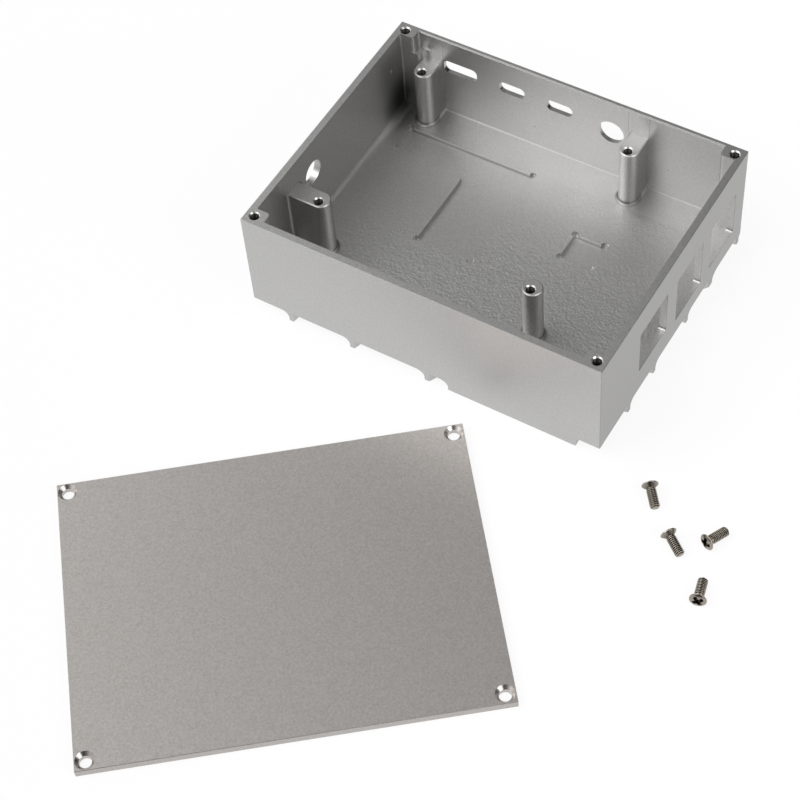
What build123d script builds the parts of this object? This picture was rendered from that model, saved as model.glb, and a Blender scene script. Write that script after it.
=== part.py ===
from build123d import *
from math import atan2, cos, degrees, dist, isclose, radians, sin
import os

# Milled case for a small computer board: an open body, its lid plate and four lid screws.
# Millimetres. z is 0 on the table that all the pieces lie on, +X is the body's end with the tall
# sockets and +Y its side with the small ports. The body is drawn round x = 0 and y = 0, and the
# whole layout is centred there at the end.

# Board that the case is made round, carried upside down on four standoffs
board_length = 85.0
board_width = 56.0
board_gap_left = 4.05       # between the board's edges and the walls
board_gap_right = 2.95
board_gap_front = 13.4
board_gap_back = 2.2
board_height = 21.7         # from the plain underside to the seat of the board
board_hole_margin = 3.5     # from the board's left and back edges to the nearest holes
board_hole_span_x = 58.0
board_hole_span_y = 49.0

# Body, outside
wall_height = 29.1          # from the plain underside up to the rim
relief_height = 3.0         # how far the ribs stand below the plain underside
edge_break = 0.1            # small bevel along the outer edges of the body and the lid

# Body, pocket
side_wall = 1.8             # both ends and the front
back_wall = 1.2
rim_bevel = 0.3             # bevel along the inside top edge of the back wall
floor_thickness = 4.3
wall_foot_radius = 2.5      # between the left wall and the floor

# Lid fixing: one boss in each corner
boss_length = 3.7           # how far it stands out from the inner face of an end wall
boss_width = 2.85           # and from the inner face of the front or back wall
boss_nose_radius = 0.9
boss_root_radius = 0.5      # where it meets the walls

# Shallow sinks milled into the floor, with a round relief in each square corner: left, right, back
# and front side, from the board's left and back edges
square_sink = (55.8, 63.9, 19.65, 27.65)
stepped_sink = (1.65, 37.3, 7.4, 39.15)
sink_step = (21.9, 15.1)    # its inner corner, from the same two edges
sink_step_radius = 3.0
sink_depth = 1.2
relief_radius = 0.85

# Standoffs
standoff_radius = 2.5
standoff_offset_x = 0.2     # the standoffs stand this far right of the screw holes in them
standoff_offset_y = 0.75    # and this far behind them
standoff_edge_bevel = 0.25
standoff_foot_radius = 0.8
left_web_root_radius = 0.75 # where the left web meets the left wall

# Step that stands out from the back left boss, up to a little below the rim
gusset_drop = 5.2           # from the rim down to its top
gusset_step = 1.5           # from the boss to its side
gusset_blend_radius = 2.2   # where it runs out into the back wall
gusset_nose_radius = 0.6

# Screw thread and head; the thread itself is finer than this model
thread_diameter = 2.4
thread_engagement = 0.15    # radial depth of the thread in its tapped hole
tap_bevel = 0.33
screw_length = 6.0          # from the rim of the head to the tip
head_diameter = 4.0
head_rim = 0.2
head_dome = 0.55
tip_bevel = 0.3
recess_width = 0.75
recess_span = 2.8
recess_depth = 1.5          # from the top of the head
recess_taper = 30.0         # how far the walls of the cross lean in
standoff_tap_depth = 8.0
tap_spare_depth = 4.0       # how far a tapped corner hole goes past the screw's tip

# Lid
lid_thickness = 2.0
screw_clearance = 0.25      # radial, between the thread and the hole in the lid
countersink_clearance = 0.25 # radial, between the screw's head and the mouth of the countersink
countersink_lip = 0.2       # metal left between a countersink and the edges of the lid

# Ports in the back wall: distance from the board's left end, width, height, drop below its seat
port_corner_radius = 1.4
power_port = (11.4, 9.6, 4.0, 1.3)
first_display_port = (26.25, 7.2, 3.4, 1.15)
second_display_port = (39.7, 7.2, 3.4, 1.15)
audio_port_offset = 54.1
audio_port_radius = 3.45
audio_port_drop = 2.55

# Socket openings in the right wall: distance from the board's back edge, width, height, bottom
# edge above the plain underside
socket_corner_radius = 0.6
first_usb_socket = (8.4, 13.3, 14.2, 5.3)
second_usb_socket = (26.2, 13.5, 14.8, 4.9)
network_socket = (45.0, 13.9, 13.5, 7.2)

# Cable hole in the left wall, measured from the case's front face and the plain underside
cable_hole_radius = 3.3
cable_hole_offset = 27.9
cable_hole_height = 19.2

# Ribs under the base: where each crosses the front or right edge, and its heading from +X
rib_width = 1.1
rib_flank_radius = 2.0
front_ribs = ((-37.1, 78.0), (-19.6, 70.5), (1.4, 61.3))
right_ribs = ((-9.4, 12.0), (7.9, 7.0), (36.0, 9.0))
forked_rib = (20.9, 52.0)
pad_rib = (-22.4, 17.0)     # runs along the back of the foot pad
pad_left = 7.9              # middle of the rib along its left side, and its plain right side,
pad_right = 41.5            # both where they meet the front edge

# Where the loose pieces lie
lid_gap = 8.1               # clear of the body's front
lid_shift = 2.3
lid_turn = 39.1
# each screw: from the body's right face, from its front face, heading of the tip, roll
screw_places = (
    (14.3, -2.7, -50.9, 20.0),
    (23.8, -12.4, -35.6, 40.0),
    (32.4, -10.6, 66.6, 10.0),
    (37.3, -25.0, 103.8, 35.0),
)

# Sizes that follow from those above
case_length = side_wall + board_gap_left + board_length + board_gap_right + side_wall
case_width = side_wall + board_gap_front + board_width + board_gap_back + back_wall
underside = relief_height
rim = underside + wall_height
pocket_floor = underside + floor_thickness
board_seat = underside + board_height
left_face = -case_length / 2
right_face = case_length / 2
front_face = -case_width / 2
back_face = case_width / 2
inner_left = left_face + side_wall
inner_right = right_face - side_wall
inner_front = front_face + side_wall
inner_back = back_face - back_wall
board_left = inner_left + board_gap_left
board_back = inner_back - board_gap_back
hole_left = board_left + board_hole_margin
hole_right = hole_left + board_hole_span_x
hole_back = board_back - board_hole_margin
hole_front = hole_back - board_hole_span_y
left_web_middle = hole_front + standoff_offset_y
standoff_points = [(x, y) for x in (hole_left, hole_right) for y in (hole_front, hole_back)]
thread_radius = thread_diameter / 2
tap_radius = thread_radius - thread_engagement
head_radius = head_diameter / 2
countersink_radius = head_radius + countersink_clearance
fixing_inset = countersink_radius + countersink_lip
fixing_points = [
    (x, y)
    for x in (left_face + fixing_inset, right_face - fixing_inset)
    for y in (front_face + fixing_inset, back_face - fixing_inset)
]


def span(left, right, front, back):
    """Flat rectangle between two x and two y positions."""
    return Pos((left + right) / 2, (front + back) / 2) * Rectangle(right - left, back - front)


def raised(outline, bottom, top):
    """Upright solid of an outline between two heights."""
    return extrude(Pos(0, 0, bottom) * outline, top - bottom)


def turned(*profile):
    """Solid of revolution about z, from points given as radius and height."""
    return revolve(Plane.XZ * make_face(Polyline(*profile, close=True)), Axis.Z)


def plate(bottom, top):
    """Block of the case's length and width with its edges broken, underside left sharp."""
    block = raised(span(left_face, right_face, front_face, back_face), bottom, top)
    upright = block.edges().filter_by(Axis.Z)
    return chamfer(block.edges().group_by(Axis.Z)[-1] + upright, edge_break)


def tapped_hole(x, y, mouth, depth):
    """Cutter of a blind tapped hole with a bevelled mouth."""
    return Pos(x, y, mouth) * turned(
        (0, 0),
        (tap_radius + tap_bevel, 0),
        (tap_radius, -tap_bevel),
        (tap_radius, -depth),
        (0, -depth),
    )


def is_boss_nose(corner):
    """Whether a corner of the pocket's outline lies well away from the walls."""
    clear_of_ends = inner_left + boss_length / 2 < corner.X < inner_right - boss_length / 2
    clear_of_sides = inner_front + boss_width / 2 < corner.Y < inner_back - boss_width / 2
    return clear_of_ends and clear_of_sides


def pocket_outline():
    """Inside of the walls, with a boss left standing in each corner."""
    outline = span(inner_left, inner_right, inner_front, inner_back)
    for x in (inner_left, inner_right):
        for y in (inner_front, inner_back):
            outline -= Pos(x, y) * Rectangle(2 * boss_length, 2 * boss_width)
    outline = fillet(outline.vertices().filter_by(is_boss_nose), boss_nose_radius)
    roots = [corner for corner in outline.vertices() if not is_boss_nose(corner)]
    return fillet(roots, boss_root_radius)


def standoff(hole_x, hole_y):
    """Post round one of the board's screw holes, with the web that ties it to the wall beside it."""
    x, y = hole_x + standoff_offset_x, hole_y + standoff_offset_y
    outline = Pos(x, y) * Circle(standoff_radius)
    if hole_y == hole_back:
        outline += span(x - standoff_radius, x + standoff_radius, y, back_face - back_wall / 2)
    elif hole_x == hole_left:
        outline += span(left_face + side_wall / 2, x, y - standoff_radius, y + standoff_radius)
    post = raised(outline, pocket_floor - floor_thickness / 2, board_seat)
    return chamfer(post.edges().group_by(Axis.Z)[-1], standoff_edge_bevel)


def gusset():
    """Step round the back left boss that runs out into the back wall."""
    side = inner_left + boss_length + gusset_step
    front = inner_back - boss_width
    hidden_back = back_face - back_wall / 2
    outline = span(left_face + side_wall / 2, side, front, hidden_back)
    web_side = hole_left + standoff_offset_x + standoff_radius
    outline += span(side, web_side, inner_back, hidden_back)
    nose = outline.vertices().sort_by_distance((side, front, 0))[0]
    outline = fillet(nose, gusset_nose_radius)
    root = outline.vertices().sort_by_distance((side, inner_back, 0))[0]
    outline = fillet(root, gusset_blend_radius)
    return raised(outline, pocket_floor - floor_thickness / 2, rim - gusset_drop)


def corner_blend(radius):
    """Flat outline of a concave blend between +X and +Y."""
    return span(0, radius, 0, radius) - Pos(radius, radius) * Circle(radius)


def wall_foot():
    """Concave blend between the left wall and the floor."""
    face = Plane((inner_left, inner_back, pocket_floor), x_dir=(1, 0, 0), z_dir=(0, -1, 0))
    return extrude(face * corner_blend(wall_foot_radius), inner_back - inner_front)


def left_web_roots():
    """Upright blends between the left wall and the two sides of its web."""
    outline = corner_blend(left_web_root_radius)
    front = Pos(inner_left, left_web_middle - standoff_radius) * Rot(Z=-90) * outline
    back = Pos(inner_left, left_web_middle + standoff_radius) * outline
    return [raised(flat, pocket_floor, board_seat) for flat in (front, back)]


def on_board(right, down):
    """Point on the floor, from the board's left edge and from its back edge."""
    return (board_left + right, board_back - down)


def sunk_area(left, right, back, front):
    """Flat rectangle on the floor, its sides measured as on_board measures."""
    near_left, far_right = on_board(left, front), on_board(right, back)
    return span(near_left[0], far_right[0], near_left[1], far_right[1])


def floor_sinks():
    """Cutter of the square sink and the stepped one, with the reliefs in their corners."""
    left, right, back, front = stepped_sink
    step_left, step_front = sink_step
    stepped = sunk_area(left, right, back, step_front) + sunk_area(step_left, right, back, front)
    inner, *corners = stepped.vertices().sort_by_distance((*on_board(*sink_step), 0))
    square = sunk_area(*square_sink)
    sinks = fillet(inner, sink_step_radius) + square
    for corner in corners + square.vertices():
        sinks += Pos(corner.X, corner.Y) * Circle(relief_radius)
    return raised(sinks, pocket_floor - sink_depth, pocket_floor)


def back_rim_bevel():
    """Strip milled off the inside top edge of the back wall, between the bosses."""
    corner = make_face(Polyline((0, 0), (rim_bevel, 0), (0, -rim_bevel), close=True))
    face = Plane((inner_left + boss_length, inner_back, rim), x_dir=(0, 1, 0), z_dir=(1, 0, 0))
    return extrude(face * corner, inner_right - inner_left - 2 * boss_length)


def back_wall_ports():
    """Cutters of the three small ports and the round one, in a row along the board's edge."""
    cutters = []
    for offset, width, height, drop in (power_port, first_display_port, second_display_port):
        outline = RectangleRounded(width, height, port_corner_radius)
        cutters.append((board_left + offset, board_seat - drop, outline))
    cutters.append((
        board_left + audio_port_offset,
        board_seat - audio_port_drop,
        Circle(audio_port_radius),
    ))
    middle = back_face - back_wall / 2
    return [
        extrude(Plane((x, middle, z), x_dir=(1, 0, 0), z_dir=(0, 1, 0)) * outline, back_wall, both=True)
        for x, z, outline in cutters
    ]


def right_wall_sockets():
    """Cutters of the three tall socket openings."""
    cutters = []
    for offset, width, height, bottom in (first_usb_socket, second_usb_socket, network_socket):
        middle = (right_face - side_wall / 2, board_back - offset, underside + bottom + height / 2)
        face = Plane(middle, x_dir=(0, 1, 0), z_dir=(1, 0, 0))
        outline = RectangleRounded(width, height, socket_corner_radius)
        cutters.append(extrude(face * outline, side_wall, both=True))
    return cutters


def cable_hole():
    """Cutter of the round hole in the left wall."""
    middle = (left_face + side_wall / 2, front_face + cable_hole_offset, underside + cable_hole_height)
    return extrude(Plane(middle, z_dir=(-1, 0, 0)) * Circle(cable_hole_radius), side_wall, both=True)


def on_front_edge(x):
    return (x, front_face)


def on_right_edge(y):
    return (right_face, y)


def crossing(first_point, first_heading, second_point, second_heading):
    """Where two lines meet, each given by a point and a heading from +X."""
    run = (cos(radians(first_heading)), sin(radians(first_heading)))
    other = (cos(radians(second_heading)), sin(radians(second_heading)))
    gap = (second_point[0] - first_point[0], second_point[1] - first_point[1])
    ahead = (gap[0] * other[1] - gap[1] * other[0]) / (run[0] * other[1] - run[1] * other[0])
    return (first_point[0] + ahead * run[0], first_point[1] + ahead * run[1])


def rib(start, heading, length=case_length + case_width, run_up=0.0):
    """Rib under the base, running from start along heading and blended in on its left flank."""
    half = rib_width / 2
    root = floor_thickness / 2
    section = span(-half, half, -relief_height, root)
    section += span(half, half + rib_flank_radius, -rib_flank_radius, root)
    section -= Pos(half + rib_flank_radius, -rib_flank_radius) * Circle(rib_flank_radius)
    along = Vector(cos(radians(heading)), sin(radians(heading)), 0)
    leftward = Vector(-along.Y, along.X, 0)
    origin = Vector(start[0], start[1], underside) - along * run_up
    return extrude(Plane(origin, x_dir=leftward, z_dir=along) * section, length + run_up)


def ribs():
    """Branching ribs and a foot pad that the body stands on, trimmed to its footprint."""
    run_up = rib_width + rib_flank_radius
    solids = [rib(on_front_edge(x), heading, run_up=run_up) for x, heading in front_ribs]
    stem, stem_heading = front_ribs[-1]
    for y, heading in right_ribs:
        fork = crossing(on_right_edge(y), heading, on_front_edge(stem), stem_heading)
        solids.append(rib(fork, heading))
    branch, branch_heading = right_ribs[1]
    y, heading = forked_rib
    fork = crossing(on_right_edge(y), heading, on_right_edge(branch), branch_heading)
    solids.append(rib(fork, heading))

    y, heading = pad_rib
    near = on_front_edge(pad_left)
    corner = crossing(on_right_edge(y), heading, near, stem_heading)
    far_corner = crossing(on_right_edge(y), heading, on_front_edge(pad_right), 90.0)
    outline = make_face(Polyline(near, on_front_edge(pad_right), far_corner, corner, close=True))
    solids.append(raised(outline, 0, pocket_floor - floor_thickness / 2))
    solids.append(rib(corner, heading))
    solids.append(rib(near, stem_heading, dist(near, corner), run_up))
    footprint = raised(span(left_face, right_face, front_face, back_face), 0, pocket_floor)
    return [footprint & solid for solid in solids]


def case_body():
    """Open body milled from one block, ribs and foot pad included."""
    body = plate(underside, rim)
    body -= raised(pocket_outline(), pocket_floor, rim)
    body += [standoff(x, y) for x, y in standoff_points]
    body += [wall_foot(), gusset()]
    arcs = body.edges().filter_by(GeomType.CIRCLE)
    feet = arcs.filter_by_position(Axis.Z, pocket_floor, pocket_floor)
    noses = feet.filter_by(lambda arc: isclose(arc.radius, standoff_radius))
    body = fillet(noses, standoff_foot_radius)
    body += left_web_roots()
    body -= [floor_sinks(), back_rim_bevel(), cable_hole()]
    body -= back_wall_ports() + right_wall_sockets()
    body -= [tapped_hole(x, y, board_seat, standoff_tap_depth) for x, y in standoff_points]
    fixing_depth = screw_length - lid_thickness + tap_spare_depth
    body -= [tapped_hole(x, y, rim, fixing_depth) for x, y in fixing_points]
    return body + ribs()


def lid():
    """Plain plate with a countersunk hole over each boss."""
    bore = thread_radius + screw_clearance
    hole = turned(
        (0, 0),
        (countersink_radius, 0),
        (bore, bore - countersink_radius),
        (bore, -2 * lid_thickness),
        (0, -2 * lid_thickness),
    )
    return plate(0, lid_thickness) - [Pos(x, y, lid_thickness) * hole for x, y in fixing_points]


def lid_screw():
    """Raised countersunk screw with a cross recess, its axis on z and its head's rim at z = 0."""
    neck = -head_rim - (head_radius - thread_radius)
    profile = Polyline(
        (head_radius, 0),
        (head_radius, -head_rim),
        (thread_radius, neck),
        (thread_radius, tip_bevel - screw_length),
        (thread_radius - tip_bevel, -screw_length),
        (0, -screw_length),
        (0, head_dome),
    )
    dome = TangentArc((0, head_dome), (head_radius, 0), tangent=(1, 0))
    screw = revolve(Plane.XZ * make_face([*profile.edges(), dome]), Axis.Z)

    hollow = extrude(Rectangle(recess_span, recess_span), -recess_depth, taper=recess_taper)
    cross = Rectangle(recess_span, recess_width) + Rectangle(recess_width, recess_span)
    return screw - Pos(0, 0, head_dome) * (hollow & extrude(cross, -recess_depth))


def lying_on_table(screw, to_right, to_back, heading, roll):
    """Screw resting on the rim of its head and the end of its thread."""
    reach = screw_length - tip_bevel - head_rim
    tilt = degrees(atan2(head_radius - thread_radius, reach))
    height = head_radius * cos(radians(tilt)) + head_rim * sin(radians(tilt))
    place = Pos(right_face + to_right, front_face + to_back, height)
    return place * Rot(Z=heading) * Rot(Y=tilt - 90) * Rot(Z=roll) * screw


turn = radians(lid_turn)
lid_depth = case_length * sin(turn) + case_width * cos(turn)
lid_place = Pos(lid_shift, front_face - lid_gap - lid_depth / 2) * Rot(Z=lid_turn)
parts = {"case_body": case_body(), "lid": lid_place * lid()}
for number, place in enumerate(screw_places, start=1):
    parts[f"screw_{number}"] = lying_on_table(lid_screw(), *place)

middle = Compound(list(parts.values())).bounding_box().center()
os.makedirs("parts", exist_ok=True)
for name, part in parts.items():
    placed = Pos(-middle.X, -middle.Y) * part
    placed.label = name
    export_step(placed, f"parts/{name}.step")
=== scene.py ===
import math

import bmesh
import bpy
from mathutils import Matrix, Vector


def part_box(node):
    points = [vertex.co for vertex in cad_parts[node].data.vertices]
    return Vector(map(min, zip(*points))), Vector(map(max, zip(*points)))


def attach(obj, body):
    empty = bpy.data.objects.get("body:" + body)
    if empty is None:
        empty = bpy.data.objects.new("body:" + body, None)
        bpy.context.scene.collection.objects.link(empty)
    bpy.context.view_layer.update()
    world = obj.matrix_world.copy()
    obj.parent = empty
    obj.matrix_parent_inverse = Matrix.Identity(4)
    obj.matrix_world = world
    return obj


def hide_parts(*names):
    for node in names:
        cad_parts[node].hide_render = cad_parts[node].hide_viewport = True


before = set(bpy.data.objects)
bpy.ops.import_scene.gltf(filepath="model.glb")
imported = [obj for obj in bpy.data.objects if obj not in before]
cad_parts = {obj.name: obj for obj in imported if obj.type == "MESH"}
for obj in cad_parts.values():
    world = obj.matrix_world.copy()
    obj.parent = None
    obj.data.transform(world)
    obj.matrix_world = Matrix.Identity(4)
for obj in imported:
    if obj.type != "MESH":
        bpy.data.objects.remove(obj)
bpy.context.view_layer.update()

# Places below are in millimetres from the middle of the body's footprint, with z = 0 on the table,
# +X towards the end with the tall sockets and +Y towards the side with the small ports
MM = 0.001
low, high = (Vector(corner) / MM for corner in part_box("case_body"))
MIDDLE = Vector(((low.x + high.x) / 2, (low.y + high.y) / 2, 0.0))
HALF_LENGTH = (high.x - low.x) / 2
HALF_WIDTH = (high.y - low.y) / 2
RIM = high.z
SEAT = 24.7                 # top of the standoffs
POCKET_FLOOR = 7.3
SIDE_WALL = 1.8
BACK_WALL = 1.2


# Nodes

NOISE_RANGE = (0.3, 0.7)    # where nearly all values of a noise lie


class Nodes:
    """Short-hand for building one node tree."""

    def __init__(self, tree):
        self.tree = tree
        tree.nodes.clear()

    def add(self, kind, values=None, **settings):
        node = self.tree.nodes.new(kind)
        for name, value in settings.items():
            setattr(node, name, value)
        for name, value in (values or {}).items():
            self.put(node.inputs[name], value)
        return node

    def put(self, socket, value):
        if isinstance(value, bpy.types.NodeSocket):
            self.tree.links.new(value, socket)
        else:
            socket.default_value = value

    def math(self, operation, a, b=0.0):
        node = self.add("ShaderNodeMath", operation=operation)
        self.put(node.inputs[0], a)
        self.put(node.inputs[1], b)
        return node.outputs[0]

    def times(self, *factors):
        product = factors[0]
        for factor in factors[1:]:
            product = self.math("MULTIPLY", product, factor)
        return product

    def either(self, a, b):
        return self.math("MAXIMUM", a, b)

    def ramp(self, value, low, high, start=0.0, end=1.0):
        node = self.add("ShaderNodeMapRange", clamp=True)
        for name, item in (
            ("Value", value), ("From Min", low), ("From Max", high), ("To Min", start), ("To Max", end),
        ):
            self.put(node.inputs[name], item)
        return node.outputs["Result"]

    def fall(self, value, low, high):
        """1 up to low, fading to 0 at high."""
        return self.ramp(value, low, high, 1.0, 0.0)

    def band(self, value, low, high, soft):
        """1 between low and high, fading to 0 over a soft distance outside them."""
        return self.times(self.ramp(value, low - soft, low), self.fall(value, high, high + soft))

    def mix(self, share, a, b):
        node = self.add("ShaderNodeMix", data_type="RGBA")
        self.put(node.inputs[0], share)
        self.put(node.inputs[6], a)
        self.put(node.inputs[7], b)
        return node.outputs[2]

    def noise(self, where, size, detail=2.0, roughness=0.5):
        """Noise whose patches are about size millimetres across."""
        node = self.add("ShaderNodeTexNoise", {"Scale": 1 / size, "Detail": detail, "Roughness": roughness})
        self.put(node.inputs["Vector"], where)
        return node.outputs["Fac"]

    def spread(self, noise, start=0.0, end=1.0):
        """Noise pulled out to run from start to end."""
        return self.ramp(noise, *NOISE_RANGE, start, end)

    def bump(self, height, depth, normal=None):
        """Bump that is depth millimetres high where height goes from 0 to 1."""
        node = self.add("ShaderNodeBump", {"Strength": 1.0, "Distance": depth * MM, "Height": height})
        if normal is not None:
            self.put(node.inputs["Normal"], normal)
        return node.outputs["Normal"]

    def place(self, centre=MIDDLE, turn=0.0):
        """Position on the object in millimetres, round a centre and turned about z."""
        where = self.add("ShaderNodeMapping", vector_type="TEXTURE")
        where.inputs["Location"].default_value = centre * MM
        where.inputs["Rotation"].default_value = (0.0, 0.0, turn)
        where.inputs["Scale"].default_value = (MM, MM, MM)
        self.put(where.inputs["Vector"], self.add("ShaderNodeTexCoord").outputs["Object"])
        return where.outputs[0]

    def axes(self, vector):
        return self.add("ShaderNodeSeparateXYZ", {"Vector": vector}).outputs

    def near(self, x, y, points, radius, soft):
        """1 within a radius of any of some upright lines, fading to 0 over a soft distance outside it."""
        reach = 0.0
        for px, py in points:
            across = self.math("SUBTRACT", x, px)
            along = self.math("SUBTRACT", y, py)
            far = self.math("SQRT", self.math("ADD", self.times(across, across), self.times(along, along)))
            reach = self.either(reach, self.fall(far, radius, radius + soft))
        return reach


def grey(value, warmth=0.0, fall=1.3):
    """Grey with more red, and with less blue by fall times as much."""
    return (value * (1 + warmth), value, value * (1 - fall * warmth), 1.0)


def new_material(name):
    material = bpy.data.materials.new(name)
    material.use_nodes = True
    return material, Nodes(material.node_tree)


def metal(nodes, color, roughness, normal):
    shader = nodes.add("ShaderNodeBsdfPrincipled", {"Metallic": 1.0})
    nodes.put(shader.inputs["Base Color"], color)
    nodes.put(shader.inputs["Roughness"], roughness)
    nodes.put(shader.inputs["Normal"], normal)
    output = nodes.add("ShaderNodeOutputMaterial")
    nodes.put(output.inputs["Surface"], shader.outputs[0])


# Aluminium of the body and the lid

GRAIN = 0.45                # patches of the blasted skin
GRAIN_HEIGHT = 0.010
MOTTLE = 1.3                # larger and fainter patches
MOTTLE_SHARE = 0.25
WARMTH = 0.01               # of the body's greys
TRACE = 0.005               # of the paler ones
ROUGHNESS = 0.435
TURNED_POLISH = 0.15        # by how much turned metal is less rough
COUNTERSINK_POLISH = 0.16


def painted(n, color, layers):
    """Color under layers, each a mask, the share that it covers there and its own color."""
    for mask, share, tone in layers:
        color = n.mix(n.times(mask, share), color, tone)
    return color


def blasted(n, where, dark, light, mottled):
    """Grain and color of a blasted skin."""
    grain = n.noise(where, GRAIN, 3.0)
    mottle = n.noise(where, MOTTLE, 2.0)
    color = n.mix(n.spread(grain), dark, light)
    return grain, n.mix(n.spread(mottle, 0.0, MOTTLE_SHARE), color, mottled)


# Places on the body

FIXING_INSET = 2.45
CORNERS = [
    (x, y)
    for x in (FIXING_INSET - HALF_LENGTH, HALF_LENGTH - FIXING_INSET)
    for y in (FIXING_INSET - HALF_WIDTH, HALF_WIDTH - FIXING_INSET)
]
BOARD_MIDDLE = (-9.45, 5.9)
BOARD_HOLES = (58.0, 49.0)  # from hole to hole
STANDOFFS = [
    (BOARD_MIDDLE[0] + side * BOARD_HOLES[0] / 2, BOARD_MIDDLE[1] + end * BOARD_HOLES[1] / 2)
    for side in (-1, 1)
    for end in (-1, 1)
]
POST_SHIFT = (0.2, 0.75)    # the posts stand a little off their own holes
POSTS = [(x + POST_SHIFT[0], y + POST_SHIFT[1]) for x, y in STANDOFFS]
POST_RADIUS = 2.5
FOOT_RADIUS = 0.8
FOOT_TOP = 8.0
TAP_MOUTH = 1.42
TAP_BEVEL = 0.33
TAP_DEPTH = 7.0
BORE_BELOW_THREAD = 0.5
BACK_FACE = HALF_WIDTH - BACK_WALL
BACK_MIDDLE = HALF_WIDTH - BACK_WALL / 2
LEFT_FACE = SIDE_WALL - HALF_LENGTH
BACK_BEVEL = 0.3
FRONT_BEVEL = 0.1
FRONT_LIMIT = 0.5 - HALF_WIDTH  # within the front wall
SKIN = 0.05                 # a surface lies this close to its nominal place
FINE = 0.01                 # fading of the finest masks

# Marks of the body, and painted highlights and painted shade on it

MARK_EDGE = 0.06
# small marks of the cutters, with painted highlights on their lit sides, each as its middle and its size in
# x, y and z
MARKS_AND_HIGHLIGHTS = (
    ((-35.8, BACK_FACE, 19.0), (0.14, 0.3, 22.6)),
    ((-10.4, BACK_FACE, 7.4), (50.8, 0.3, 0.3)),
    ((34.3, BACK_FACE, 7.4), (22.0, 0.3, 0.3)),
    ((17.0, BACK_FACE, 28.2), (0.12, 0.3, 6.0)),
    ((-36.1, 34.3, SEAT), (0.5, 0.4, 0.3)),
    ((-39.5, BACK_FACE, 27.0), (3.3, 0.3, 0.18)),
    ((LEFT_FACE, 24.0, 23.6), (0.3, 0.4, 0.5)),
    ((28.3, BACK_FACE, 16.9), (0.5, 0.3, 0.3)),
)
# marks of the cutters with painted shade on their shaded sides; the last two are painted shade on the lower
# part of the sinks' walls
MARKS_AND_SHADE = (
    ((21.7, 6.0, POCKET_FLOOR), (0.7, 0.7, 0.8)),
    ((-5.3, -5.6, POCKET_FLOOR), (0.6, 0.6, 0.8)),
    ((-35.6, BACK_FACE, 19.0), (0.12, 0.3, 22.6)),
    ((16.8, BACK_FACE, 28.2), (0.14, 0.3, 6.6)),
    ((22.4, BACK_FACE, 28.2), (0.14, 0.3, 6.6)),
    ((-9.3, BACK_FACE, 13.9), (0.45, 0.3, 0.45)),
    ((28.0, BACK_FACE, 16.6), (0.5, 0.3, 0.3)),
    ((-28.8, 22.8, POCKET_FLOOR), (1.1, 0.25, 0.3)),
    ((17.9, 14.25, 6.4), (8.2, 0.3, 0.8)),
    ((-22.5, 26.5, 6.4), (35.6, 0.3, 0.8)),
)
# painted glints on the pocket's floor and on the left wall
PAINTED_GLINTS = (
    ((22.7, 6.7, POCKET_FLOOR), (0.6, 0.7, 0.8)),
    ((22.6, 14.7, POCKET_FLOOR), (0.6, 0.7, 0.8)),
    ((-4.2, -4.9, POCKET_FLOOR), (0.6, 0.7, 0.8)),
    ((-40.7, 26.6, POCKET_FLOOR), (0.7, 0.7, 0.8)),
    ((-40.5, 18.7, POCKET_FLOOR), (0.7, 0.7, 0.8)),
    ((LEFT_FACE, 27.9, 23.5), (0.4, 0.7, 0.9)),
)
# painted shade in the lower ends of the port slots in the back wall
SLOT_END_SHADE = (
    ((-34.8, BACK_MIDDLE, 22.0), (0.9, 1.0, 1.1)),
    ((-19.3, BACK_MIDDLE, 22.0), (0.8, 1.0, 1.0)),
    ((-5.6, BACK_MIDDLE, 22.3), (0.7, 1.0, 0.9)),
)
# each table with the share and the grey of its marks
MARKS = ((MARKS_AND_HIGHLIGHTS, 0.5, 0.70), (MARKS_AND_SHADE, 0.6, 0.24), (PAINTED_GLINTS, 1.0, 1.0), (SLOT_END_SHADE, 0.9, 0.08))
# heights of a tone, and how far it fades out above and below them
ON_FLOOR = (POCKET_FLOOR - 1.5, POCKET_FLOOR, 0.3)
ON_WALL = (POCKET_FLOOR + 0.6, RIM, 0.3)
IN_CORNER = (8.0, 13.0, 7.0)
# painted highlights (pale greys) and painted shade (dark greys) on patches of the pocket: middle, radius,
# fading, heights, share, grey
PAINTED_LIGHT_PATCHES = (
    ((4.0, 27.0), 6.0, 26.0, ON_FLOOR, 0.38, 0.68),
    ((14.0, BACK_FACE), 8.0, 24.0, ON_WALL, 0.24, 0.68),
    ((28.9, 17.6), 3.0, 11.0, ON_FLOOR, 0.45, 0.36),
    ((-27.0, BACK_FACE), 3.0, 14.0, ON_WALL, 0.4, 0.36),
    ((LEFT_FACE, 31.0), 1.5, 7.0, IN_CORNER, 0.85, 0.10),
)
# painted shade along the foot of the left wall: from and to, away from the wall and above the floor, and
# its fading
WALL_FOOT_RUN = (0.3, 1.3, 0.6)
WALL_FOOT_RISE = (0.2, 1.4, 0.7)

# Orange peel of the pocket's floor

PEEL = 0.75
PEEL_RANGE = (0.36, 0.64)
PEEL_HEIGHT = 0.030
RIPPLE = 2.8
RIPPLE_HEIGHT = 2.0         # times the peel's
# it grows along the diagonal from the back left to the front right, fades towards the front wall and
# ends before the back wall
PEEL_SLANT = (-24.2, 2.0)
PEEL_LEFT_AT_BACK = 0.3
PEEL_FRONT = (-34.0, -20.0)
PEEL_LEFT_AT_FRONT = 0.4
PEEL_BACK = (26.0, 27.5)


def inside_box(n, places, spots):
    """1 inside any of the given boxes, with soft edges."""
    reach = 0.0
    for middle, size in spots:
        inside = 1.0
        for value, centre, span in zip(places, middle, size):
            inside = n.times(inside, n.band(value, centre - span / 2, centre + span / 2, MARK_EDGE))
        reach = n.either(reach, inside)
    return reach


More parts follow.
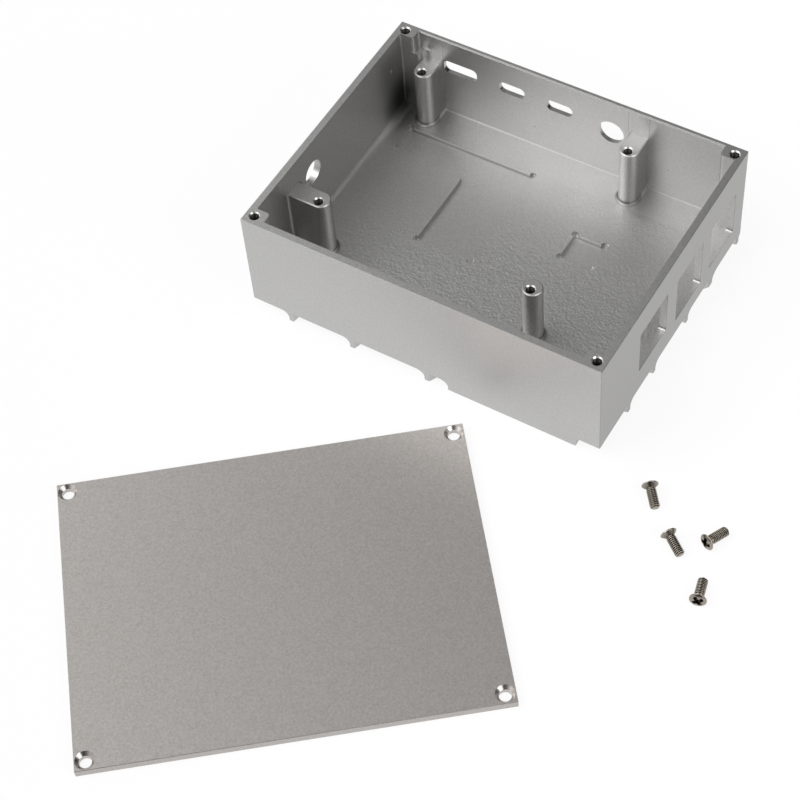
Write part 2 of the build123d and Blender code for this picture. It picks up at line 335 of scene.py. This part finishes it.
def tap_masks(n, x, y, z):
    """The turned mouths of the tapped holes, and the bores below them, which are painted near black as
    shade.
    """
    turned = 0.0
    bore_shade = 0.0
    for points, mouth in ((CORNERS, RIM), (STANDOFFS, SEAT)):
        hole = n.near(x, y, points, TAP_MOUTH, SKIN)
        root = mouth - TAP_BEVEL
        turned = n.either(turned, n.times(hole, n.band(z, root, mouth - 2 * FINE, FINE)))
        bottom = mouth - TAP_DEPTH - BORE_BELOW_THREAD
        bore_shade = n.either(bore_shade, n.times(hole, n.band(z, bottom, root - 3 * FINE, 2 * FINE)))
    return turned, bore_shade


def peel_height(n, where, x, y, z):
    """Orange peel on the pocket's floor, strongest at the front right."""
    peel = n.ramp(n.noise(where, PEEL, 3.0, 0.6), *PEEL_RANGE)
    ripple = n.times(n.noise(where, RIPPLE, 1.0), RIPPLE_HEIGHT)
    floor = n.times(
        n.band(z, POCKET_FLOOR - SKIN, POCKET_FLOOR + 2 * FINE, SKIN),
        n.band(x, LEFT_FACE, -LEFT_FACE, 2 * SKIN),
        n.fall(y, *PEEL_BACK),
    )
    slant = n.times(n.math("SUBTRACT", x, y), math.sqrt(0.5))
    fading = n.times(
        n.ramp(slant, *PEEL_SLANT, PEEL_LEFT_AT_BACK, 1.0),
        n.ramp(y, *PEEL_FRONT, PEEL_LEFT_AT_FRONT, 1.0),
    )
    return n.times(n.math("ADD", peel, ripple), floor, fading)


def edge_masks(n, y, z):
    """The bevels of the rim on the back wall and on the front wall, which get painted shade."""
    back = n.times(
        n.band(y, BACK_FACE + 3 * FINE, BACK_FACE + BACK_BEVEL - 3 * FINE, 3 * FINE),
        n.ramp(z, RIM - BACK_BEVEL - 2 * FINE, RIM - BACK_BEVEL + 2 * FINE),
        n.fall(z, RIM - 3 * FINE, RIM - FINE),
    )
    front = n.times(
        n.band(y, FINE - HALF_WIDTH, FRONT_BEVEL - FINE - HALF_WIDTH, FINE),
        n.band(z, RIM - FRONT_BEVEL + FINE, RIM - FINE, FINE),
    )
    return back, front


def pocket_layers(n, x, y, z):
    """Painted highlights and painted shade on patches of the pocket, and painted shade on the feet of its
    posts and of its left wall.
    """
    inside = n.times(
        n.band(x, LEFT_FACE - SKIN, SKIN - LEFT_FACE, SKIN),
        n.band(y, FRONT_LIMIT, BACK_FACE + SKIN, SKIN),
    )
    layers = []
    # patches of painted highlight and painted shade
    for middle, radius, fading, (bottom, top, soft), share, value in PAINTED_LIGHT_PATCHES:
        patch = n.times(n.near(x, y, (middle,), radius, fading), n.band(z, bottom, top, soft), inside)
        layers.append((patch, share, grey(value, TRACE)))
    # painted shade on the feet of the posts
    feet = n.times(
        n.near(x, y, POSTS, POST_RADIUS + FOOT_RADIUS, 2 * SKIN),
        n.band(z, POCKET_FLOOR + 3 * FINE, FOOT_TOP, 2 * SKIN),
    )
    layers.append((feet, 0.85, grey(0.25, WARMTH)))
    # painted shade along the foot of the left wall
    start, end, soft = WALL_FOOT_RUN
    run = n.band(x, LEFT_FACE + start, LEFT_FACE + end, soft)
    start, end, soft = WALL_FOOT_RISE
    rise = n.band(z, POCKET_FLOOR + start, POCKET_FLOOR + end, soft)
    layers.append((n.times(run, rise, inside), 0.6, grey(0.30, WARMTH)))
    return layers


def body_material():
    """Blasted aluminium, with a coarser skin on the pocket's floor and turned tap mouths, a painted
    highlight on its front face, and painted shade on its right face, the rim's bevels and the bores.
    """
    material, n = new_material("blasted_aluminium")
    where = n.place()
    x, y, z = n.axes(where)
    turned, bore_shade = tap_masks(n, x, y, z)

    # painted light: the front face gets a painted highlight and the right face painted shade
    front_face_highlight = n.fall(y, 2 * SKIN - HALF_WIDTH, 4 * SKIN - HALF_WIDTH)
    right_face_shade = n.ramp(x, HALF_LENGTH - 4 * SKIN, HALF_LENGTH - 2 * SKIN)
    back_bevel_shade, front_bevel_shade = edge_masks(n, y, z)
    grain, color = blasted(n, where, grey(0.44, WARMTH), grey(0.56, WARMTH), grey(0.52, TRACE))
    color = painted(n, color, (
        (front_face_highlight, 0.2, grey(0.60)),
        (right_face_shade, 0.8, grey(0.36, WARMTH)),
    ))
    color = painted(n, color, pocket_layers(n, x, y, z))
    # painted shade on the rim's bevels and in the bores below the tap mouths; the turned mouths are paler
    # metal
    color = painted(n, color, (
        (back_bevel_shade, 1.0, grey(0.24, WARMTH)),
        (front_bevel_shade, 1.0, grey(0.30, WARMTH)),
        (turned, 0.8, grey(0.60, WARMTH)),
        (bore_shade, 1.0, grey(0.04, 0.05)),
    ))
    # cutter marks with painted highlights and shade on their sides, painted glints, and painted shade in
    # the port slots' ends
    color = painted(n, color, (
        (inside_box(n, (x, y, z), spots), share, grey(value, TRACE)) for spots, share, value in MARKS
    ))

    rough = n.math("SUBTRACT", ROUGHNESS, n.times(turned, TURNED_POLISH))
    normal = n.bump(peel_height(n, where, x, y, z), PEEL_HEIGHT)
    metal(n, color, rough, n.bump(grain, GRAIN_HEIGHT, normal))
    return material


LID_TURN = math.radians(39.1)
lid_low, lid_high = (Vector(corner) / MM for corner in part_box("lid"))
LID_MIDDLE = Vector(((lid_low.x + lid_high.x) / 2, (lid_low.y + lid_high.y) / 2, 0.0))
LID_TOP = lid_high.z
LID_TINT = (0.06, 0.7)      # warmth, and the fall of blue with it
COUNTERSINK = 2.25


def lid_material():
    """Blasted plate with bright turned countersinks."""
    material, n = new_material("lid_aluminium")
    where = n.place(LID_MIDDLE, LID_TURN)
    x, y, z = n.axes(where)
    turned = n.times(
        n.near(x, y, CORNERS, COUNTERSINK, 3 * FINE), n.fall(z, LID_TOP - 3 * FINE, LID_TOP - FINE),
    )
    grain, color = blasted(n, where, grey(0.41, *LID_TINT), grey(0.54, *LID_TINT), grey(0.495, *LID_TINT))
    rough = n.math("SUBTRACT", ROUGHNESS, n.times(turned, COUNTERSINK_POLISH))
    metal(n, color, rough, n.bump(grain, GRAIN_HEIGHT))
    return material


# Steel of the screws

# 0 on this scale also gives painted shade: the near-black plate in the thread's roots and the cross recess
WEAR_AND_SHADE = "wear_and_shade"               # how worn each point of a screw is, from 0 to 1
WORN_RANGE = (0.35, 1.0)    # wear at which the dark plate begins to go and is gone
PLATE_GRAIN = 0.3
PLATE_GRAIN_HEIGHT = 0.002
PLATE_ROUGHNESS = (0.34, 0.16)  # unworn and worn
PLATE_UNEVEN = 0.05         # how much the roughness varies


def screw_material():
    """Dark nickel plate, rubbed bright on the head and on the thread's crests, and near black as painted
    shade in the thread's roots and the cross recess.
    """
    material, n = new_material("nickel_steel")
    fine = n.noise(n.place(), PLATE_GRAIN, 3.0)
    wear_and_shade_level = n.add("ShaderNodeAttribute", attribute_name=WEAR_AND_SHADE).outputs["Fac"]
    bright = n.mix(n.spread(fine), grey(0.36, 0.09), grey(0.48, 0.09))
    # near black where nothing is rubbed, which in the thread's roots and the cross recess is painted shade
    color = n.mix(n.ramp(wear_and_shade_level, *WORN_RANGE), grey(0.035, 0.35), bright)
    rough = n.math("ADD", n.ramp(wear_and_shade_level, 0.0, 1.0, *PLATE_ROUGHNESS), n.spread(fine, 0.0, PLATE_UNEVEN))
    metal(n, color, rough, n.bump(fine, PLATE_GRAIN_HEIGHT))
    return material


def dress(name, material):
    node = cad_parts[name]
    node.data.materials.clear()
    node.data.materials.append(material)


dress("case_body", body_material())
dress("lid", lid_material())
steel = screw_material()


# Screws

HEAD_RADIUS = 2.0
HEAD_RIM = 0.2
HEAD_DOME = 0.55
HEAD_EDGE = 0.03            # bevel under the head's rim
HEAD_LIP = 0.04             # and above it
SCREW_LENGTH = 6.0
THREAD_RADIUS = 1.2
CREST = 1.19
ROOT = 0.93
PITCH = 0.45
FLANK_FOOT = 0.18           # share of half a pitch at which a thread's flank rises from its root
FLANK_RISE = 0.60           # and the share that the flank takes
ROWS_PER_TURN = 12
TIP_BEVEL = 0.3
TIP_ROOT = ROOT - 0.06
TIP_RADIUS = ROOT - 0.12
END_GAP = 0.02              # from a thread's end to the tip or the neck
RUNOUT_LENGTH = 0.5
RUNOUT_RISE = 0.08
NECK_RADIUS = ROOT + 0.10
NECK_WEAR = 0.5
FACE_WEAR = 0.8
RIM_WEAR = 1.0
CONE_SHARES = (0.0, 0.06, 0.5, 0.97, 1.0)
DOME_SHARES = (0.985, 0.96, 0.9, 0.8, 0.7, 0.6, 0.5, 0.4, 0.3, 0.2, 0.1)
RECESS_SPAN = 3.0
RECESS_WIDTH = 0.85
RECESS_DEPTH = 1.5
RECESS_FLOOR = 0.53         # from the middle to the end of a wing at the bottom
RECESS_TAPER = 0.10         # by how much half a wing is narrower at the bottom
RECESS_FLAT = 0.14
RECESS_OVER = 0.2           # how far the cutter stands out of the head, and how much it flares there
FLARE_SPAN = 0.12
FLARE_WIDTH = 0.03
RECESS_EDGE = 0.035         # bevel of the recess's edges
SHARP = 38.0                # degrees from which an edge is bevelled
SIDES = 72
# from the body's right face, from its front face, heading of the tip, roll
SCREW_PLACES = (
    (14.3, -2.7, -50.9, 20.0),
    (23.8, -12.4, -35.6, 40.0),
    (32.4, -10.6, 66.6, 10.0),
    (37.3, -25.0, 103.8, 35.0),
)


def new_piece(name, mesh, material):
    piece = bpy.data.objects.new(name, mesh)
    bpy.context.scene.collection.objects.link(piece)
    mesh.materials.clear()
    mesh.materials.append(material)
    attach(piece, "root")
    return piece


def finished(name, made):
    """The mesh of a bmesh, which is freed."""
    mesh = bpy.data.meshes.new(name)
    made.to_mesh(mesh)
    made.free()
    return mesh


def bridge(made, lower, upper):
    """Quads between two rings of as many points."""
    count = len(lower)
    for k in range(count):
        j = (k + 1) % count
        made.faces.new((lower[k], lower[j], upper[j], upper[k]))


def thread_share(height, turn):
    """How near the crest a thread is at a height and an angle, from 0 to 1: flats at both ends."""
    phase = (height / PITCH - turn / math.tau) % 1.0
    ridge = 1.0 - abs(2.0 * phase - 1.0)
    return min(1.0, max(0.0, (ridge - FLANK_FOOT) / FLANK_RISE))


def screw_rows():
    """Rings of the screw from its tip to the middle of its head: height, radius, thread depth, and how
    rubbed it is, where 0 gives painted shade.
    """
    neck = -HEAD_RIM - (HEAD_RADIUS - CREST)
    rows = [(-SCREW_LENGTH, TIP_RADIUS, 0.0, FACE_WEAR)]
    steps = int((SCREW_LENGTH + neck) / PITCH * ROWS_PER_TURN)
    for k in range(steps + 1):
        height = -SCREW_LENGTH + END_GAP + (SCREW_LENGTH + neck - 2 * END_GAP) * k / steps
        from_tip = height + SCREW_LENGTH
        root = TIP_ROOT if from_tip < TIP_BEVEL else ROOT
        crest = min(CREST, TIP_ROOT + from_tip * (CREST - TIP_ROOT) / TIP_BEVEL)
        depth = max(0.0, crest - root)
        runout = min(1.0, (neck - height) / RUNOUT_LENGTH)
        rows.append((height, crest - depth + (1 - runout) * RUNOUT_RISE, depth * runout, 0.0))
    cone = HEAD_RADIUS - HEAD_EDGE - NECK_RADIUS
    for share in CONE_SHARES:
        wear_and_shade = NECK_WEAR + (FACE_WEAR - NECK_WEAR) * share
        rows.append((neck + (-HEAD_RIM - neck) * share, NECK_RADIUS + cone * share, 0.0, wear_and_shade))
    rows.append((-HEAD_RIM + HEAD_EDGE, HEAD_RADIUS, 0.0, RIM_WEAR))
    rows.append((-HEAD_LIP, HEAD_RADIUS, 0.0, RIM_WEAR))
    sphere = (HEAD_RADIUS ** 2 + HEAD_DOME ** 2) / (2 * HEAD_DOME)
    for share in DOME_SHARES:
        radius = HEAD_RADIUS * share
        rows.append((HEAD_DOME - sphere + math.sqrt(sphere ** 2 - radius ** 2), radius, 0.0, FACE_WEAR))
    return rows


def ringed_mesh(name, rows):
    """Closed mesh of rings round z, with how rubbed each point is; the thread's roots stay at 0, which is
    painted shade.
    """
    made = bmesh.new()
    wear_and_shade_level = made.verts.layers.float.new(WEAR_AND_SHADE)
    rings = []
    for height, radius, depth, wear_and_shade in rows:
        ring = []
        for k in range(SIDES):
            turn = math.tau * k / SIDES
            rise = thread_share(height, turn) if depth else 0.0
            r = radius + depth * rise
            ring.append(made.verts.new((r * math.cos(turn) * MM, r * math.sin(turn) * MM, height * MM)))
            # the thread's roots keep 0 and take the dark plate as painted shade
            ring[-1][wear_and_shade_level] = max(wear_and_shade, rise)
        rings.append(ring)
    for lower, upper in zip(rings, rings[1:]):
        bridge(made, lower, upper)
    made.faces.new(list(reversed(rings[0])))
    made.faces.new(rings[-1])
    for face in made.faces:
        face.smooth = True
    return finished(name, made)


def recess_cutter():
    """Tapered cross with small flats between its wings."""
    made = bmesh.new()
    rings = []
    for height, span, width in (
        (HEAD_DOME + RECESS_OVER, RECESS_SPAN / 2 + FLARE_SPAN, RECESS_WIDTH / 2 + FLARE_WIDTH),
        (HEAD_DOME - RECESS_DEPTH, RECESS_FLOOR, RECESS_WIDTH / 2 - RECESS_TAPER),
    ):
        flat = width + RECESS_FLAT
        ring = []
        for quarter in range(4):
            turn = quarter * math.pi / 2
            for x, y in ((span, -width), (span, width), (flat, width), (width, flat)):
                ring.append(made.verts.new((
                    (x * math.cos(turn) - y * math.sin(turn)) * MM,
                    (x * math.sin(turn) + y * math.cos(turn)) * MM,
                    height * MM,
                )))
        rings.append(ring)
    top, bottom = rings
    bridge(made, bottom, top)
    made.faces.new(top)
    made.faces.new(list(reversed(bottom)))
    return finished("recess", made)


def settled(obj):
    """The object's mesh with its modifiers applied."""
    bpy.context.view_layer.update()
    graph = bpy.context.evaluated_depsgraph_get()
    return bpy.data.meshes.new_from_object(obj.evaluated_get(graph))


def screw_mesh():
    blank = bpy.data.objects.new("blank", ringed_mesh("blank", screw_rows()))
    cutter = bpy.data.objects.new("cutter", recess_cutter())
    for helper in (blank, cutter):
        bpy.context.scene.collection.objects.link(helper)
    cut = blank.modifiers.new("recess", "BOOLEAN")
    cut.operation = "DIFFERENCE"
    cut.solver = "EXACT"
    cut.object = cutter
    soft = blank.modifiers.new("soft", "BEVEL")
    soft.width = RECESS_EDGE * MM
    soft.segments = 2
    soft.limit_method = "ANGLE"
    soft.angle_limit = math.radians(SHARP)
    mesh = settled(blank)
    for helper in (blank, cutter):
        bpy.data.objects.remove(helper)
    mesh.name = "screw"
    return mesh


def screw_place(to_right, to_back, heading, roll):
    """Resting on the rim of its head and the end of its thread."""
    tilt = math.atan2(HEAD_RADIUS - THREAD_RADIUS, SCREW_LENGTH - TIP_BEVEL - HEAD_RIM)
    height = HEAD_RADIUS * math.cos(tilt) + HEAD_RIM * math.sin(tilt)
    spot = MIDDLE + Vector((HALF_LENGTH + to_right, to_back - HALF_WIDTH, height))
    return (
        Matrix.Translation(spot * MM)
        @ Matrix.Rotation(math.radians(heading), 4, "Z")
        @ Matrix.Rotation(tilt - math.pi / 2, 4, "Y")
        @ Matrix.Rotation(math.radians(roll), 4, "Z")
    )


one_screw = screw_mesh()
for number, place in enumerate(SCREW_PLACES, start=1):
    mesh = one_screw.copy()
    mesh.transform(screw_place(*place))
    piece = new_piece(f"threaded_screw_{number}", mesh, steel)
    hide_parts(f"screw_{number}")


# Threads in the tapped holes

TAP_WALL = 1.05
TAP_CREST = 0.93
TAP_SINK = 0.01             # how far a thread's foot lies in the wall
TAP_STEPS = 40              # straight runs in one turn of a tapped thread
TAP_FADE = 12               # runs over which it grows at its ends
TAP_THINNEST = 0.1          # share of its height that it keeps there
TAP_FOOT = 0.36             # half of its foot and of its crest, as shares of the pitch
TAP_FLAT = 0.06
TAP_GRAIN = 0.2
TAP_GRAIN_HEIGHT = 0.003
TAP_ROUGHNESS = (0.30, 0.38)


def tapped_thread(x, y, mouth, depth):
    """Closed ridge that winds down the wall of a tapped hole, thinned to nothing at both ends."""
    made = bmesh.new()
    turns = (depth - TAP_BEVEL) / PITCH
    count = int(turns * TAP_STEPS)
    outer = TAP_WALL + TAP_SINK
    rings = []
    for k in range(count + 1):
        angle = math.tau * k / TAP_STEPS
        height = mouth - TAP_BEVEL - PITCH * k / TAP_STEPS
        fade = min(1.0, k / TAP_FADE, (count - k) / TAP_FADE)
        crest = outer - (outer - TAP_CREST) * max(fade, TAP_THINNEST)
        ring = []
        for radius, rise in ((outer, TAP_FOOT), (crest, TAP_FLAT), (crest, -TAP_FLAT), (outer, -TAP_FOOT)):
            ring.append(made.verts.new((
                (MIDDLE.x + x + radius * math.cos(angle)) * MM,
                (MIDDLE.y + y + radius * math.sin(angle)) * MM,
                (height + rise * PITCH) * MM,
            )))
        rings.append(ring)
    for upper, lower in zip(rings, rings[1:]):
        bridge(made, upper, lower)
    made.faces.new(rings[0])
    made.faces.new(list(reversed(rings[-1])))
    bmesh.ops.recalc_face_normals(made, faces=made.faces)
    return finished("tapped_thread", made)


def tap_material():
    """Freshly cut thread, painted near black as the shade deep in its hole."""
    material, n = new_material("cut_thread_in_shade")
    fine = n.noise(n.place(), TAP_GRAIN, 2.0)
    color = n.mix(n.spread(fine), grey(0.035, 0.06), grey(0.07, 0.06))
    metal(n, color, n.spread(fine, *TAP_ROUGHNESS), n.bump(fine, TAP_GRAIN_HEIGHT))
    return material


cut_thread_in_shade = tap_material()
for name, points, mouth in (("corner_thread", CORNERS, RIM), ("standoff_thread", STANDOFFS, SEAT)):
    for number, (x, y) in enumerate(points, start=1):
        piece = new_piece(f"{name}_{number}", tapped_thread(x, y, mouth, TAP_DEPTH), cut_thread_in_shade)


# Floor, light and camera

FLOOR_HALF = 2.5            # metres
FLOOR_GLOW = 0.89           # of the floor as the camera and reflections see it
FLOOR_PAPER = 0.1           # grey that takes the object's shadow there
FLOOR_PLAIN = 0.8           # grey of the floor as other light sees it
# elevation and azimuth from +X, in degrees, and strength of each soft patch of light
PATCHES = (
    (53.0, 226.0, 4.44),
    (30.0, 198.0, 0.83),
    (53.0, 174.0, 0.18),
)
PATCH_TIGHTNESS = 10.0
# elevation and azimuth of each lamp as above, and its power in watts
LAMPS = (
    (30.0, 342.0, 0.95),
    (53.0, 20.0, 0.39),
    (30.0, 162.0, 0.33),
    (53.0, 123.0, 0.07),
)
LAMP_WIDTH = 0.36           # metres
LAMP_DISTANCE = 0.5


def heading(azimuth, elevation):
    """Unit vector towards an azimuth from +X and an elevation, in degrees."""
    turn, rise = math.radians(azimuth), math.radians(elevation)
    return Vector((math.cos(turn) * math.cos(rise), math.sin(turn) * math.cos(rise), math.sin(rise)))


def make_floor():
    """Pale floor that looks white and keeps the object's shadow."""
    made = bmesh.new()
    bmesh.ops.create_grid(made, x_segments=1, y_segments=1, size=FLOOR_HALF)
    mesh = finished("floor", made)
    floor = bpy.data.objects.new("floor", mesh)
    bpy.context.scene.collection.objects.link(floor)
    material, n = new_material("pale_floor")
    seen = n.add("ShaderNodeLightPath")
    direct = n.either(seen.outputs["Is Camera Ray"], seen.outputs["Is Glossy Ray"])
    direct = n.either(direct, seen.outputs["Is Transmission Ray"])
    white = n.add("ShaderNodeEmission", {"Color": grey(1.0), "Strength": FLOOR_GLOW})
    paper = n.add("ShaderNodeBsdfDiffuse", {"Color": grey(FLOOR_PAPER)})
    plain = n.add("ShaderNodeBsdfDiffuse", {"Color": grey(FLOOR_PLAIN)})
    both = n.add("ShaderNodeAddShader")
    n.put(both.inputs[0], white.outputs[0])
    n.put(both.inputs[1], paper.outputs[0])
    choice = n.add("ShaderNodeMixShader", {"Fac": direct})
    n.put(choice.inputs[1], plain.outputs[0])
    n.put(choice.inputs[2], both.outputs[0])
    output = n.add("ShaderNodeOutputMaterial")
    n.put(output.inputs["Surface"], choice.outputs[0])
    mesh.materials.append(material)


def make_lamps():
    """Round soft boxes standing round the object."""
    for number, (elevation, azimuth, power) in enumerate(LAMPS, start=1):
        data = bpy.data.lights.new(f"soft_box_{number}", "AREA")
        data.shape = "DISK"
        data.size = LAMP_WIDTH
        data.energy = power
        lamp = bpy.data.objects.new(f"soft_box_{number}", data)
        bpy.context.scene.collection.objects.link(lamp)
        towards = heading(azimuth, elevation)
        facing = towards.to_track_quat("Z", "Y").to_matrix().to_4x4()
        lamp.matrix_world = Matrix.Translation(MIDDLE * MM + towards * LAMP_DISTANCE) @ facing


def make_world():
    """Soft patches of light in the upper half of the sky, strongest from the front left."""
    world = bpy.data.worlds.new("studio")
    bpy.context.scene.world = world
    world.use_nodes = True
    n = Nodes(world.node_tree)
    direction = n.add("ShaderNodeTexCoord").outputs["Generated"]
    total = 0.0
    for elevation, azimuth, strength in PATCHES:
        towards = n.add("ShaderNodeVectorMath", operation="DOT_PRODUCT")
        n.put(towards.inputs[0], direction)
        n.put(towards.inputs[1], heading(azimuth, elevation))
        away = n.math("SUBTRACT", towards.outputs["Value"], 1.0)
        patch = n.math("EXPONENT", n.times(away, PATCH_TIGHTNESS))
        total = n.math("ADD", total, n.times(patch, strength))
    above = n.math("GREATER_THAN", n.axes(direction)[2], 0.0)
    sky = n.add("ShaderNodeBackground", {"Color": grey(1.0)})
    n.put(sky.inputs["Strength"], n.times(total, above))
    output = n.add("ShaderNodeOutputWorld")
    n.put(output.inputs["Surface"], sky.outputs[0])


CAMERA_PLACE = (174.218, -292.437, 409.737)
CAMERA_AZIMUTH = -35.392    # degrees from +Y towards +X
CAMERA_DROP = 53.510
CAMERA_ROLL = -5.684
LENS = 96.45
SENSOR = 36.0
CLIPPING = (0.01, 50.0)     # metres


def make_camera():
    azimuth, drop, roll = (math.radians(a) for a in (CAMERA_AZIMUTH, CAMERA_DROP, CAMERA_ROLL))
    forward = Vector((
        math.sin(azimuth) * math.cos(drop),
        math.cos(azimuth) * math.cos(drop),
        -math.sin(drop),
    ))
    level = Vector((math.cos(azimuth), -math.sin(azimuth), 0.0))
    upward = level.cross(forward)
    right = math.cos(roll) * level + math.sin(roll) * upward
    up = -math.sin(roll) * level + math.cos(roll) * upward
    data = bpy.data.cameras.new("camera")
    data.lens = LENS
    data.sensor_width = SENSOR
    data.clip_start, data.clip_end = CLIPPING
    camera = bpy.data.objects.new("camera", data)
    bpy.context.scene.collection.objects.link(camera)
    axes = Matrix((right, up, -forward)).transposed().to_4x4()
    place = (MIDDLE + Vector(CAMERA_PLACE)) * MM
    camera.matrix_world = Matrix.Translation(place) @ axes
    bpy.context.scene.camera = camera


make_floor()
make_lamps()
make_world()
make_camera()

bpy.context.scene.view_settings.view_transform = "Standard"
